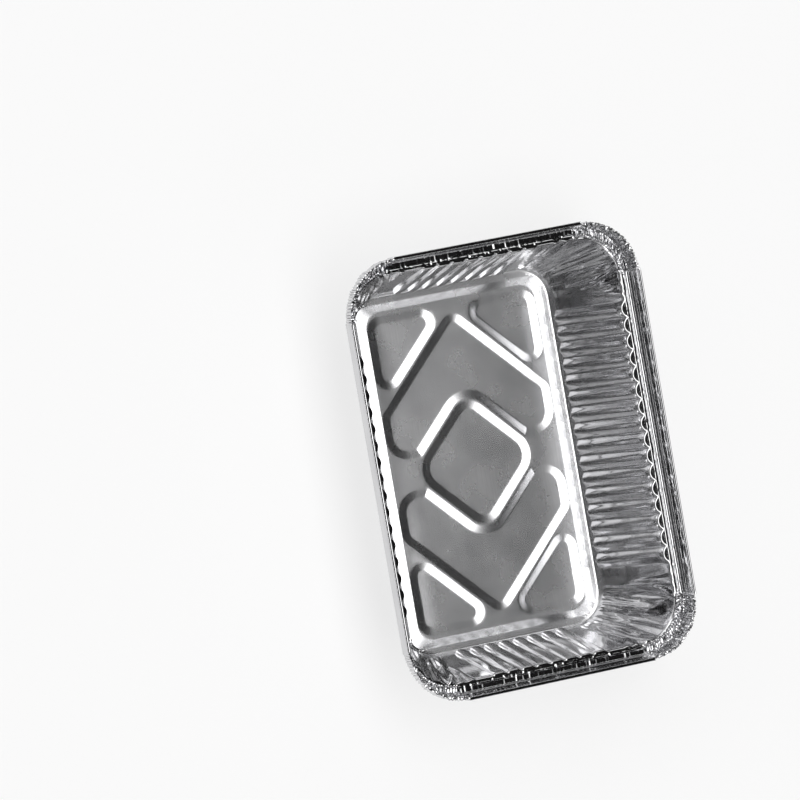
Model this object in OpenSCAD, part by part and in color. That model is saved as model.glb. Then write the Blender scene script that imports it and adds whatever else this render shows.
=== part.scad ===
// Oblong foil food container: one pressed sheet with an embossed base,
// fluted walls, a lid ledge and an upright flange with a folded hem.
// Millimetres, standing on its base at z = 0, length along Y.

/* [Tray] */
// Length over the flange
tray_l = 182; // [150:1:230]
// Width over the flange
tray_w = 132; // [110:1:170]
// Height of the flange top above the table
tray_h = 48; // [40:0.5:60]
// Outer corner radius of the flange
rim_r = 23.4; // [18:0.2:28]
// Sheet thickness
foil_t = 0.1; // [0.08:0.01:0.2]

/* [Rim] */
// Height of the upright flange above the ledge
flange_h = 9.8; // [7:0.2:11]
// Width of the flat ledge that carries a lid
ledge_w = 3.4; // [3:0.1:4.5]
// Thickness of the folded hem across the top
hem_w = 1.5; // [1:0.1:2]
// Height of the folded hem on the outside
hem_h = 5.9; // [4:0.1:6.4]
// How far the flange leans out from its root to its top
flange_lean = 0.4; // [0:0.1:1]
// How far the crimped corners stand behind the straight hems
corner_inset = 0.6; // [0.2:0.05:0.8]
// Pleats in each crimped corner
pleat_count = 9; // [6:1:11]
// Depth of each corner pleat
pleat_depth = 0.55; // [0.3:0.05:0.7]

/* [Walls] */
// Lean of the long walls from foot to ledge
long_lean = 15.1; // [12:0.1:17]
// Lean of the short walls from foot to ledge
short_lean = 11; // [8:0.1:13]
// Flutes on each long wall
long_flutes = 16; // [12:1:16]
// Flutes on each short wall
short_flutes = 8; // [6:1:8]
// Distance from one flute to the next
flute_pitch = 6.7; // [5.6:0.1:6.8]
// Depth of each flute at the ledge
flute_depth = 2.3; // [1.2:0.1:2.6]
// Corner radius of the wall foot
foot_r = 13.6; // [11:0.2:16]
// Depth of the fine corner creases
crease_depth = 0.5; // [0.2:0.05:0.8]

/* [Base] */
// Width of the flat ring the tray stands on
ring_w = 2.1; // [1.8:0.1:3]
// Height of the raised network above the ring
emboss_h = 1.1; // [0.8:0.1:1.6]
// Horizontal run of every embossed slope
slope_run = 3.3; // [2.6:0.1:3.6]
// Half diagonal of the centre diamond at its rim
diamond_d = 28.9; // [26:0.1:30]
// Corner radius of the centre diamond
diamond_r = 8.4; // [6:0.2:10]
// Width of the rib between neighbouring panels
rib_w = 1.1; // [0.8:0.1:1.6]
// Reach of the arrow panels from the centre to their point
arrow_y = 64.2; // [62:0.1:65]
// Width left standing between the panels and the long edges of the field
margin_side = 0.6; // [0.4:0.1:1]
// Width left standing between the panels and the short edges of the field
margin_end = 1.8; // [1:0.1:2.6]
// Distance from the cross line to the lower edge of an arrow panel
arrow_low = 6.5; // [5:0.1:8]
// Corner radius of the panels at their rim
panel_r = 6; // [5:0.2:7]

/* [Hidden] */
half_w = tray_w / 2;
half_l = tray_l / 2;
ledge_z = tray_h - flange_h;
flange_x = half_w - hem_w - flange_lean;
flange_y = half_l - hem_w - flange_lean;
seat_x = flange_x - ledge_w;
seat_y = flange_y - ledge_w;
foot_x = seat_x - long_lean;
foot_y = seat_y - short_lean;
foot_round = 1.3;
foot_rise = 1.0;
flute_start = 1.5;
flute_stop = 1.1;
ring_x = foot_x - foot_round;
ring_y = foot_y - foot_round;
ring_r = foot_r - foot_round;
rise_x = ring_x - ring_w;
rise_y = ring_y - ring_w;
rise_r = ring_r - ring_w;
top_x = rise_x - slope_run;
top_y = rise_y - slope_run;
top_r = rise_r - slope_run;
panel_z = foil_t;
panel_x = top_x - margin_side;
panel_y = top_y - margin_end;
flange_r = rim_r - hem_w - flange_lean;
seat_r = flange_r - ledge_w;
joint_lap = 0.6;
tuck = 0.25;
corner_steps = 11;
diag = sqrt(2);
wedge_d = arrow_y + rib_w * diag;
open_h = 1;
slope = slope_run / (emboss_h - panel_z);
mound_over = 0.5;

// Points round the tray, one row for each: kind, quarter, place, wave.
// Kind 0 is on a straight wall, kind 1 in a corner.
flute_marks = [[0.11, 0], [0.39, 1], [0.61, 1], [0.89, 0]];
function flute_n(q) = (q % 2 == 0) ? long_flutes : short_flutes;
function wall_row(q) = [
    for (i = [0 : flute_n(q) - 1])
        for (m = flute_marks)
            [0, q, (i + m[0] - flute_n(q) / 2) * flute_pitch, m[1]]
];
function corner_row(q) = [
    for (i = [0 : corner_steps])
        [1, q, 90 * i / corner_steps, (i == corner_steps) ? 0 : i % 2]
];
wall_marks = [for (q = [0 : 3]) for (row = [wall_row(q), corner_row(q)]) for (s = row) s];

// The rim is straight between its corners, which are gathered in pleats.
// Kind 2 marks the two ends of a straight hem.
pleat_steps = 2 * pleat_count;
function pleat_row(q) = [
    for (i = [0 : pleat_steps])
        [1, q, 1.5 + 87 * i / pleat_steps, (i % 2 == 0) ? 0 : 1]
];
function rim_row(q) = concat([[2, q, 0, 0]], pleat_row(q), [[2, q, 90, 0]]);
rim_marks = [for (q = [0 : 3]) for (s = rim_row(q)) s];

function sign_x(q) = (q == 0 || q == 3) ? 1 : -1;
function sign_y(q) = (q == 0 || q == 1) ? 1 : -1;
function turn(q, out, along) =
    (q == 0) ? [out, along] : (q == 1) ? [-along, out] : (q == 2) ? [-out, -along] : [along, -out];
function corner_at(q, ang, hx, hy, r, grow) = [
    sign_x(q) * (hx - r) + (r + grow) * cos(90 * q + ang),
    sign_y(q) * (hy - r) + (r + grow) * sin(90 * q + ang)
];

// One ring: half width, half length, corner radius, height, flute depth,
// crease depth and the setback of the corners behind the straight sides.
function place(s, g) =
    let (out = (s[1] % 2 == 0) ? g[0] : g[1])
    let (p = (s[0] == 0)
        ? turn(s[1], out - s[3] * g[4], s[2])
        : corner_at(s[1], s[2], g[0], g[1], g[2], (s[0] == 1) ? -g[6] - s[3] * g[5] : 0))
    [p[0], p[1], g[3]];

// A closed band: every mark carries the whole section, ring after ring.
// The first half of the rings is the inner skin and the rest the outer one,
// which is cut along the same diagonals so that the skins stay apart.
module band(marks, rings) {
    n = len(marks);
    k = len(rings);
    points = [for (s = marks) for (g = rings) place(s, g)];
    faces = [
        for (i = [0 : n - 1])
            for (j = [0 : k - 1])
                let (a = i * k + j)
                let (b = i * k + (j + 1) % k)
                let (c = ((i + 1) % n) * k + (j + 1) % k)
                let (d = ((i + 1) % n) * k + j)
                let (inner = j < k / 2)
                for (f = inner ? [[a, c, b], [a, d, c]] : [[a, d, b], [d, c, b]]) f
    ];
    polyhedron(points = points, faces = faces, convexity = 10);
}

// A ring moved outwards and down by the sheet thickness.
function skin(g, out, down) = [
    g[0] + out * foil_t, g[1] + out * foil_t, g[2] + out * foil_t, g[3] - down * foil_t, g[4], g[5], g[6]
];
function grown(x, y, r, out, z, flute, crease, setback) = [x + out, y + out, r + out, z, flute, crease, setback];

function lean_ring(t, z, flute, crease) = [
    foot_x + long_lean * t,
    foot_y + short_lean * t,
    foot_r + (seat_r - foot_r) * t,
    z, flute, crease, 0
];

module walls() {
    lap = grown(ring_x, ring_y, ring_r, -joint_lap, foil_t * (1 - tuck), 0, 0, 0);
    edge = grown(ring_x, ring_y, ring_r, 0, foil_t, 0, 0, 0);
    bend = grown(foot_x, foot_y, foot_r, -0.3 * foot_round, foot_rise * 0.5, 0, 0, 0);
    foot = lean_ring(0.045, foot_rise + flute_start, flute_depth * 0.6, crease_depth * 0.4);
    high = lean_ring(0.975, ledge_z - flute_stop, flute_depth, crease_depth);
    lip = lean_ring(1, ledge_z - 0.1, flute_depth * 0.7, crease_depth * 0.6);
    seat = grown(seat_x, seat_y, seat_r, 0.4, ledge_z, 0, 0, 0);
    shelf = grown(seat_x, seat_y, seat_r, 0.4 + joint_lap, ledge_z, 0, 0, 0);
    band(wall_marks, [
        lap, edge, bend, foot, high, lip, seat, shelf,
        skin(shelf, 0, 1), skin(seat, 0.3, 1), skin(lip, 0.8, 0.9), skin(high, 1, 0.4),
        skin(foot, 1, 0.3), skin(bend, 0.5, 0.9), skin(edge, 0.2, 1), skin(lap, 0, 1 - 2 * tuck)
    ]);
}

module rim() {
    top_z = tray_h;
    round_z = 0.35;
    crown_x = half_w - hem_w;
    crown_y = half_l - hem_w;
    crown_r = rim_r - hem_w;
    hem_in = -flange_lean * hem_h / flange_h;
    start = grown(seat_x, seat_y, seat_r + joint_lap, 0.7, ledge_z - tuck * foil_t, 0, 0, 0);
    root = grown(flange_x, flange_y, flange_r, 0, ledge_z, 0, pleat_depth * 0.5, corner_inset);
    up = grown(crown_x, crown_y, crown_r, 0, top_z - round_z, 0, pleat_depth, corner_inset);
    crown_in = grown(crown_x, crown_y, crown_r, round_z, top_z, 0, pleat_depth, corner_inset);
    crown_out = grown(half_w, half_l, rim_r, -round_z, top_z, 0, pleat_depth, corner_inset);
    hem_top = grown(half_w, half_l, rim_r, 0, top_z - round_z, 0, pleat_depth, corner_inset);
    hem_low = grown(half_w, half_l, rim_r, hem_in, top_z - hem_h, 0, pleat_depth, corner_inset);
    band(rim_marks, [
        start, root, up, crown_in, crown_out, hem_top, hem_low,
        skin(hem_low, -1, 0), skin(hem_top, -1, 0.4), skin(crown_out, -0.4, 1), skin(crown_in, 0.4, 1),
        skin(up, 1, 0.4), skin(root, 1, 1), skin(start, 0, 1 - 2 * tuck)
    ]);
}

module round_box(x, y, r) {
    hull()
        for (sx = [-1, 1])
            for (sy = [-1, 1])
                translate([sx * (x - r), sy * (y - r)])
                    circle(r, $fn = 28);
}

// Hull of upright cones, one at each corner. A corner row holds its place
// and the way from there to the rounding centre for radius 1.
module cones(corners, radius, z1, z2, grow1, grow2) {
    hull()
        for (c = corners)
            translate([c[0] + c[2] * radius, c[1] + c[3] * radius, z1])
                cylinder(h = z2 - z1, r1 = radius + grow1, r2 = radius + grow2, $fn = 20);
}

// The raised field of the base. It runs on below the sheet so that the
// cut through it is clean.
module field() {
    cones([
        [top_x, top_y, -1, -1],
        [-top_x, top_y, 1, -1],
        [-top_x, -top_y, 1, 1],
        [top_x, -top_y, -1, 1]
    ], top_r, -open_h, emboss_h, slope_run + open_h * slope, 0);
}

// A sunk panel: its outline is given at the rim and shrinks down the slope.
module pocket(corners, radius) {
    cones(corners, radius, panel_z, emboss_h + open_h, -slope_run, open_h * slope);
}

diamond_corners = [
    [diamond_d, 0, -diag, 0],
    [0, diamond_d, 0, -diag],
    [-diamond_d, 0, diag, 0],
    [0, -diamond_d, 0, diag]
];

// What stays standing round the diamond inside an arrow panel.
module mound() {
    foot_grow = rib_w + slope_run + open_h * slope;
    top_grow = rib_w - mound_over * slope;
    cones(diamond_corners, diamond_r, panel_z - open_h, emboss_h + mound_over, foot_grow, top_grow);
}

// Arrow panel: point towards the short wall, notched by the centre mound.
module arrow() {
    shoulder_y = arrow_y - panel_x;
    bend = tan(22.5);
    difference() {
        pocket([
            [0, arrow_y, 0, -diag],
            [panel_x, shoulder_y, -1, -bend],
            [-panel_x, shoulder_y, 1, -bend],
            [panel_x, arrow_low, -1, 1],
            [-panel_x, arrow_low, 1, 1]
        ], panel_r);
        mound();
    }
}

// Corner panel: a right triangle beside the arrow.
module wedge() {
    reach = 1 / tan(22.5);
    pocket([
        [panel_x, panel_y, -1, -1],
        [wedge_d - panel_y, panel_y, reach, -1],
        [panel_x, wedge_d - panel_x, -1, reach]
    ], panel_r);
}

module network() {
    difference() {
        field();
        pocket(diamond_corners, diamond_r);
        for (m = [0, 1])
            mirror([0, m, 0])
                arrow();
        for (mx = [0, 1])
            for (my = [0, 1])
                mirror([mx, 0, 0])
                    mirror([0, my, 0])
                        wedge();
    }
}

module base_sheet() {
    difference() {
        union() {
            linear_extrude(foil_t)
                round_box(ring_x - joint_lap / 2, ring_y - joint_lap / 2, ring_r - 2 * joint_lap);
            intersection() {
                translate([0, 0, foil_t])
                    network();
                translate([-half_w, -half_l, 0])
                    cube([tray_w, tray_l, tray_h]);
            }
        }
        network();
    }
}

module container() {
    color([0.78, 0.79, 0.8])
        union() {
            base_sheet();
            walls();
            rim();
        }
}

container();
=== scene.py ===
"""Looks of the oblong foil food container: one pressed sheet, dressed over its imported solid."""
import math
import random
from collections import namedtuple

import bmesh
import bpy
import numpy as np
from mathutils import Matrix, Vector, geometry, noise


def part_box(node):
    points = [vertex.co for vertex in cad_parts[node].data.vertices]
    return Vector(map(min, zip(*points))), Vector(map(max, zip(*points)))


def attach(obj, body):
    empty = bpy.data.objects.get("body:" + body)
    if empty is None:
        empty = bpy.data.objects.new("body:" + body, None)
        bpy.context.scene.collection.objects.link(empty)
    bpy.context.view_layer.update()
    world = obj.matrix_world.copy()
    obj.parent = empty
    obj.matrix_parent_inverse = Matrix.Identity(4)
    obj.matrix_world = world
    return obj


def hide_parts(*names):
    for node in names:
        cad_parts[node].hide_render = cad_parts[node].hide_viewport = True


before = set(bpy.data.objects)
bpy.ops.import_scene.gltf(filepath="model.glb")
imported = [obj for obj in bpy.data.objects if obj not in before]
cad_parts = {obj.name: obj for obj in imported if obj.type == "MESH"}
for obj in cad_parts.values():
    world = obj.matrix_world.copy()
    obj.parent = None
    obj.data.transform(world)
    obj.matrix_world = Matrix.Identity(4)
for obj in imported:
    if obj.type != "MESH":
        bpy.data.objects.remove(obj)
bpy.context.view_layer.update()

MM = 0.001

# Sizes in millimetres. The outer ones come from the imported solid, and the
# others repeat the named sizes of the part's source.
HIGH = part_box("container")[1]
HALF_W = HIGH[0] / MM
HALF_L = HIGH[1] / MM
RIM_Z = HIGH[2] / MM
RIM_R = 23.4
FLANGE_H = 9.8
LEDGE_W = 3.4
HEM_W = 1.5
HEM_H = 5.9
FLANGE_LEAN = 0.4
CORNER_INSET = 0.6
LONG_LEAN = 15.1
SHORT_LEAN = 11.0
LONG_FLUTES = 16
SHORT_FLUTES = 8
LONG_PITCH = 6.8
SHORT_PITCH = 6.6
FLUTE_DEPTH = 2.3
FOOT_R = 13.6
FOOT_ROUND = 1.3
FOOT_RISE = 1.0
RING_W = 2.1
EMBOSS_H = 0.85
SLOPE_RUN = 3.3
DIAMOND_D = 28.9
DIAMOND_R = 8.4
RIB_W = 1.1
ARROW_Y = 64.2
ARROW_LOW = 6.5
MARGIN_SIDE = 0.6
MARGIN_END = 1.8
PANEL_R = 6.0

# The short walls end a little inside the line where the long ones do, and
# their flange leans out further.
SHORT_SEAT_IN = 1.7
SHORT_LEAN_MORE = 0.8

LEDGE_Z = RIM_Z - FLANGE_H
FLANGE_X = HALF_W - HEM_W - FLANGE_LEAN
FLANGE_Y = HALF_L - HEM_W - FLANGE_LEAN
FLANGE_R = RIM_R - HEM_W - FLANGE_LEAN
SEAT_X = FLANGE_X - LEDGE_W
LINE_Y = FLANGE_Y - LEDGE_W
SEAT_Y = LINE_Y - SHORT_SEAT_IN
SEAT_R = FLANGE_R - LEDGE_W
ROOT_Y = FLANGE_Y - SHORT_LEAN_MORE
FOOT_X = SEAT_X - LONG_LEAN
FOOT_Y = LINE_Y - SHORT_LEAN
RING_X = FOOT_X - FOOT_ROUND
RING_Y = FOOT_Y - FOOT_ROUND
RING_R = FOOT_R - FOOT_ROUND
TOP_X = RING_X - RING_W - SLOPE_RUN
TOP_Y = RING_Y - RING_W - SLOPE_RUN
TOP_R = RING_R - RING_W - SLOPE_RUN
PANEL_X = TOP_X - MARGIN_SIDE
PANEL_Y = TOP_Y - MARGIN_END

# Corners of the panels that are rounder or sharper than the others.
DIAMOND_SIDE_R = DIAMOND_R + 2
NOTCH_END_R = 1.5
ARROW_LOW_R = 9.6

# The ribs between the panels are equally wide, so the arrow's notch follows
# the diamond, and x + y of a wedge's long side follows the arrow's point.
NOTCH_Y = DIAMOND_D + RIB_W * math.sqrt(2)
NOTCH_X = NOTCH_Y - ARROW_LOW
WEDGE_SUM = ARROW_Y + RIB_W * math.sqrt(2)

# Half lengths of the bends at the upper and lower end of an embossed slope,
# and the distances from its upper edge at which it gets a line of points.
BEND_HIGH = 0.27
BEND_LOW = 0.45
SLOPE_LINES = [
    -BEND_HIGH, 0.0, BEND_HIGH, SLOPE_RUN / 2,
    SLOPE_RUN - BEND_LOW, SLOPE_RUN, SLOPE_RUN + BEND_LOW,
]

# Slow unevenness of the thin base: a dome, a slight twist, wide and narrow
# waves, and the strip along the edge of the field where all of it fades.
# Waves are (height, length one way, length the other way), here and below.
DOME_H = 0.26
TWIST = 0.00012
WIDE_WAVES = (0.07, 46.0, 46.0)
NARROW_WAVES = (0.03, 15.0, 15.0)
SWELL_FADE = 9.0

# Fineness of the base: steps along its lines, how much finer they are round
# a corner, and the loose grid of points that fills what lies between them.
LINE_STEP = 1.15
COARSE_STEP = 3 * LINE_STEP
CORNER_FINER = 0.6
LEAST_ARC_STEPS = 3
LEAST_RADIUS = 0.05
GRID = 3.0
GRID_SHAKE = 0.3
GRID_WAVE = 0.7
GRID_CLEAR = 0.9
SAME_PLACE = 1e-5

# The wall is measured from 0 at its foot to WALL_LENGTH at the ledge. The
# rounded foot comes first, then the lines up the wall, then the bend into
# the ledge as (out from the seat, down from the ledge, height up the wall).
WALL_LENGTH = 40.0
FOOT_TURN = math.radians(68)
FOOT_STEPS = 4
FOOT_BULGE = 1.15
WALL_OUT = 0.1
WALL_HEIGHTS = [
    0.5, 1.0, 1.5, 2.0, 2.6, 3.3, 4.2, 5.5, 7.5, 10,
    13, 16, 19, 22, 25, 28, 31, 34, 36.5, 38.2,
]
SEAT_BEND = [
    (-0.28, 0.75, 39.3), (-0.2, 0.42, 39.5), (0.0, 0.16, 39.7), (0.35, 0.0, 40.0), (0.5, 0.0, 41.5),
]

# Lines over half a flute, as shares of the way from its crest to its valley,
# and steps on plain wall and round a corner.
LONG_ACROSS = [0.0, 0.2, 0.4, 0.58, 0.72, 0.86, 1.0]
SHORT_ACROSS = [0.0, 0.3, 0.52, 0.62, 0.72, 0.82, 0.92, 1.0]
PLAIN_STEP = 1.0
CORNER_STEPS = 52
ARC = SEAT_R * math.pi / 2

# Flutes: how far the row on the +X wall is shifted, the depth at the foot and
# what it loses on the way up, and what the long walls' scallops gain at the
# ledge. From and run are heights up the wall, and shares of it for the gain.
FLUTE_SHIFT = 0.9
SHORT_FLUTE_D = 1.5
SHORT_FLUTE_LOSS = 0.8
LONG_FLUTE_D = 1.4
LONG_FLUTE_LOSS = 0.2
SCALLOP_GAIN = FLUTE_DEPTH - 1.6
GAIN_FROM = 0.93
GAIN_RUN = 0.06
SCALLOP_FROM = 37.5
SCALLOP_RUN = 1.8
SCALLOP_POWER = 1.9
LONG_WAVE_POWER = 1.25
FLUTE_UNEVEN = (0.12, 7.0, 16.0)

# The flat fingers of the short walls, and the soft wave under them.
FINGER_EDGE = 0.93
FINGER_SIDE = 0.36
FINGER_SHARE = 0.86

# Lower tips of the flutes: height at the crest, rise towards the sides, the
# share of the half width that is round, and the run from wall to full depth.
LONG_TIP = (0.3, 0.8)
SHORT_TIP = (1.1, 2.7)
TIP_ROUND = 0.82
TIP_RUN = 1.4

# Small dents of the straight walls, which fade at the foot and at the ledge.
DENTS = (0.04, 2.1, 30.0)
DENTS_FROM = 4.0
DENTS_TO = 39.0
DENTS_FADE = 2.0

# Folds of a gathered wall corner, as (count, half width, height). Widths are
# shares of the corner's arc, here called the fan. The pairs are the ranges of
# the random draws.
FOLD_ROWS = [(5, 0.13, 1.15), (10, 0.038, 0.95), (14, 0.022, 0.7)]
FOLD_PLACE = (0.1, 0.9)
FOLD_TALL = (0.5, 1.0)
FOLD_START = (-0.5, 0.35)
FOLD_LENGTH = (0.5, 1.3)
FOLD_WIDE = (0.7, 1.3)
FOLD_PAST = 0.06
FOLD_PIVOT = 0.4
FOLD_TURN = 0.10
FOLD_LEAN = 0.22
FOLD_END = 0.15
FOLD_REACH = 0.4

# Folds that spread like a star from a point on the wall beside each corner.
STAR_FOLDS = 6
STAR_AWAY = (0.10, 0.16)
STAR_PIVOT = (0.35, 0.5)
STAR_TALL = (0.5, 0.85)
STAR_SHAKE = (-0.02, 0.02)
STAR_WIDTH = 0.032
STAR_FIRST = 0.14
STAR_STEP = 0.085
STAR_END = 1.5

# Crumpling between the folds, as (height, waves round the fan, waves up the
# wall, seed), in the corner's arc and a little past it.
CRUMPLES = [(0.30, 5, 2.6, 6), (0.05, 22, 5, 5)]
CRUMPLE_PAST = 0.10
CRUMPLE_FADE = 0.16

# Folds grow from the foot and end at the ledge, as shares of the wall, and
# near the ledge none stands out further than a little.
FOLD_FOOT = 0.08
FOLD_TOP = 1.03
FOLD_TOP_RUN = 0.05
NEAR_LEDGE = 0.97
MOST_OUT = 0.1

# Mesh of the rim: steps along its straight sides, and pleats in each corner,
# which start and end less than a degree inside the quarter turn.
LONG_RIM_STEP = 1.1
SHORT_RIM_STEP = 0.5
PLEATS = 32
PLEAT_START = 0.7
PLEAT_WIDTHS = (0.55, 1.5)

# Section of one pleat, as (share of its width, how far it is folded in).
PLEAT_SECTION = [(0.0, 0.0), (0.45, 0.06), (0.68, 1.0), (0.85, 0.2)]

# Section of the rim over the beaded ledge to a small step low on the flange:
# (out from the flange's foot on the long sides, out on the short sides,
# height above the ledge, share of the pleats, share of their rise).
BEAD_RISE = 0.22
LEDGE_SECTION = [
    (-2.85, -3.75, 0.0, 0.1, 0.3), (-2.7, -3.5, 0.08, 0.2, 0.7), (-2.5, -3.25, 0.0, 0.2, 0.9),
    (-1.6, -3.0, 0.0, 0.2, 1.0), (-1.45, -2.85, 0.3 * BEAD_RISE, 0.3, 1.0),
    (-1.25, -2.58, BEAD_RISE, 0.3, 1.0), (-1.0, -2.38, BEAD_RISE, 0.3, 1.0),
    (-0.82, -2.11, 0.3 * BEAD_RISE, 0.4, 1.0), (-0.67, -1.96, 0.0, 0.4, 1.0),
    (-0.12, -0.3, 0.0, 0.6, 1.0), (-0.05, -0.08, 0.3, 0.8, 0.8),
    (-0.03, 0.0, 1.85, 1.0, 0.5), (0.0, 0.06, 2.0, 1.0, 0.4),
    (0.5, 0.4, 2.1, 1.0, 0.3), (0.52, 0.45, 2.4, 1.0, 0.3),
]

# Up the flange between the small step and the hem's inner edge: (share of the
# flange's height, depth of the groove pressed in there).
FLANGE_SECTION = [(0.34, 0.0), (0.40, 0.22), (0.47, 0.0), (0.64, 0.0), (0.70, 0.26), (0.77, 0.0)]
FLANGE_LIFT = 0.3
STEP_TOP = (FLANGE_X + 0.45, ROOT_Y + 0.5, FLANGE_R + 0.45)
HEM_INNER = (HALF_W - HEM_W, HALF_L - HEM_W, RIM_R - HEM_W)
HEM_OUTER = (HALF_W, HALF_L, RIM_R)
HEM_LOW = RIM_Z - HEM_H
HEM_LEAN = FLANGE_LEAN * HEM_H / FLANGE_H

# Over the hem, with a flat groove along its crown: (out, down from the top,
# share of the pleats, share of their rise), from its inner edge to the
# middle and from the middle down its outer face.
INNER_CROWN = [(0.0, 0.45, 1.0, 0.4), (0.12, 0.12, 1.0, 0.6), (0.3, 0.0, 1.0, 0.8), (0.52, 0.12, 1.0, 1.0)]
OUTER_CROWN = [
    (-0.52, 0.12, 1.0, 1.0), (-0.3, 0.0, 1.0, 0.8), (-0.1, 0.12, 0.9, 0.6), (0.0, 0.45, 0.8, 0.4),
    (-0.5 * HEM_LEAN, 0.5 * HEM_H, 1.0, 0.3),
]

# The curled lower edge: (out, up from the hem's lower edge, and the shares).
HEM_CURL = [
    (-HEM_LEAN, 0.3, 1.0, 0.3), (-HEM_LEAN - 0.15, 0.03, 1.0, 0.3), (-HEM_LEAN - 0.55, 0.3, 0.9, 0.2),
]

# Nicks along the ledge: where they start inside the flange, how strong the
# noise must be for one, and their height on the long and short sides.
NICK_WAVES = (1.0, 0.7, 1.8)
NICK_FROM = 0.34
LONG_NICK_IN = 3.0
SHORT_NICK_IN = 3.9
LONG_NICK_H = 0.3
SHORT_NICK_H = 0.8
NICK_EDGE = 0.5
NICK_TOP = 0.5
NICK_FADE = 0.3

# Crinkles and slow waves of the flange, between the ledge and the hem's top.
CRINKLES = (0.16, 1.1, 1.2)
FLANGE_WAVES = (0.12, 5.0, 4.0)
CRINKLE_FROM = 3.5
CRINKLE_GROWS = 2.0
CRINKLE_TO = 0.3
CRINKLE_FADE = 0.6

# Pleats of the rim corners: mean depth and how it varies, crumpling inwards
# and up, how far a fold goes in and sinks, and the least and most that a
# point may move in the crown and in the ledge.
PLEAT_D = 0.7
PLEAT_VARIES = (0.8, 1.0, 3.5)
PLEAT_CHANGE = 1.7
CRUMPLE_IN = (0.6, 0.8, 2.3)
CRUMPLE_UP = (0.34, 1.2, 1.6)
PLEAT_IN = 0.7
PLEAT_SINK = 0.9
CROWN_H = 1.0
ABOVE_LEDGE = 1.0
LEAST_BACK = 0.05
LEAST_SINK = 0.08
MOST_RISE = 1.2

# Faces higher than the first and further round a corner than the second are
# crisp. Points lower or higher than the last two keep panels and ledges flat,
# and the weight, which is even at 50, lets their large faces set the shading.
CRISP_FROM = LEDGE_Z - 1.0
CRISP_IN = 0.2
PANEL_TO = FOOT_RISE - 0.1
LEDGE_FROM = LEDGE_Z - 0.02
FLAT_WEIGHT = 60

# Finish of the foil: roughness where it is drawn and where it is satin, the painted shade that darkens the
# tone of the drawn walls and rim against the satin base, and the heights over which the one turns into the
# other.
BRIGHT_ROUGHNESS = 0.09
SATIN_ROUGHNESS = 0.27
ROUGHNESS_LOW = 0.88
ROUGHNESS_HIGH = 1.12
# Painted shade: the tone of the drawn walls and rim is multiplied by this, so they render darker than the
# satin base.
DRAWN_PAINTED_SHADE = 0.84
SATIN_TOP = 1.6 * MM
DRAWN_FROM = 4.0 * MM

# Stains, drawing streaks and grain of the foil. Noise is used between two
# levels round its middle, and scales are per metre.
NOISE_LOW = 0.3
NOISE_HIGH = 0.7
STAIN_SCALE = 42.0
STAIN_DARK = (0.74, 0.74, 0.755, 1)
STAIN_LIGHT = (0.82, 0.82, 0.83, 1)
STREAK_SCALE = 1500.0
STREAK_SQUEEZE = (1.0, 0.045, 1.0)
STREAK_DARK = 0.90
GRAIN_SCALE = 1500.0
GRAIN_SHARE = 0.12
SATIN_RELIEF = 0.05
RELIEF_STRENGTH = 0.35
RELIEF_H = 0.02 * MM

# The floor, and how much of it shows as plain white instead of as lit.
FLOOR_HALF = 12.0
FLOOR_DROP = 0.2 * MM
FLOOR_COLOUR = (0.97, 0.97, 0.97, 1)
FLOOR_ROUGHNESS = 0.9
FLOOR_WHITE = 0.72

# Soft lights with dim gaps between them: overhead, on the -X side to the left
# and right of the camera, and beyond both ends on the +X side. Their levels
# are set against the place in a plane one unit above the tray, and the dim
# levels round them against height and side.
SOFT_LEVEL = 3.8
TOP_ACROSS = [(-0.32, 0.0), (-0.25, 1.0), (0.13, 1.0), (0.20, 0.5), (0.27, 0.06), (0.35, 0.0)]
TOP_ALONG = [(-1.1, 0.0), (-0.78, 0.15), (-0.62, 0.9), (-0.4, 1.0), (0.45, 1.0), (0.7, 0.3), (0.95, 0.0)]
BESIDE_ACROSS = [(-2.8, 0.0), (-2.0, 0.4), (-1.4, 1.0), (0.0, 1.0), (0.08, 0.5), (0.16, 0.06), (0.24, 0.0)]
BESIDE_ALONG = [
    (-2.3, 0.0), (-1.5, 0.13), (-0.6, 0.13), (-0.42, 0.0),
    (0.42, 0.0), (0.6, 0.38), (1.5, 0.38), (2.3, 0.0),
]
END_ACROSS = [(0.34, 0.0), (0.46, 1.0), (0.8, 1.0), (1.0, 0.0)]
END_ALONG = [
    (-2.4, 0.0), (-1.9, 0.5), (-1.15, 0.5), (-0.95, 0.0),
    (0.95, 0.0), (1.15, 0.5), (1.9, 0.5), (2.4, 0.0),
]
ABOVE = [(0.0, 0.0), (0.12, 1.0)]
HORIZON = [(-1.0, 0.9), (-0.1, 0.9), (0.0, 0.95), (0.12, 0.75), (0.25, 0.14), (0.4, 0.05), (1.0, 0.02)]
SIDES = [(-1.0, 1.3), (0.0, 1.0), (0.35, 0.5), (0.6, 0.25), (1.0, 0.3)]
LOWEST_RISE = 0.04

# The camera: distance and reach in metres, tilts away from straight above and
# roll in degrees, and where the photograph shows the middle of the base.
CAMERA_DISTANCE = 3.3
CAMERA_REACH = 100.0
CAMERA_LEFT = 24.13
CAMERA_FAR = 3.14
CAMERA_ROLL = -9.82
PIXELS_PER_MM = 2.4338
IMAGE_SIZE = 800
BASE_PIXEL = (475.74, 461.81)
SENSOR_MM = 36.0

# A place round the wall. Across is 0 on a flute's crest and 1 in a valley or
# on plain wall. Fan runs from 0 to 1 through the named corner, and beyond
# these on the walls beside it. Stretch is how far a plain place lies from the
# flutes to the corner.
WallMark = namedtuple("WallMark", "kind quarter place across corner fan stretch")
WallRing = namedtuple("WallRing", "x y radius z up")

# A place round the rim, with the number of its pleat and its share of the
# fold, and a ring with its share of the pleats and of their rise.
RimMark = namedtuple("RimMark", "kind quarter place pleat fold")
RimRing = namedtuple("RimRing", "x y radius z share lift")

# A fold of a wall corner. Place and width are in fan units, and pivot, start
# and end are shares of the wall's height.
Fold = namedtuple("Fold", "place slant pivot width height start end")

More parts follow.
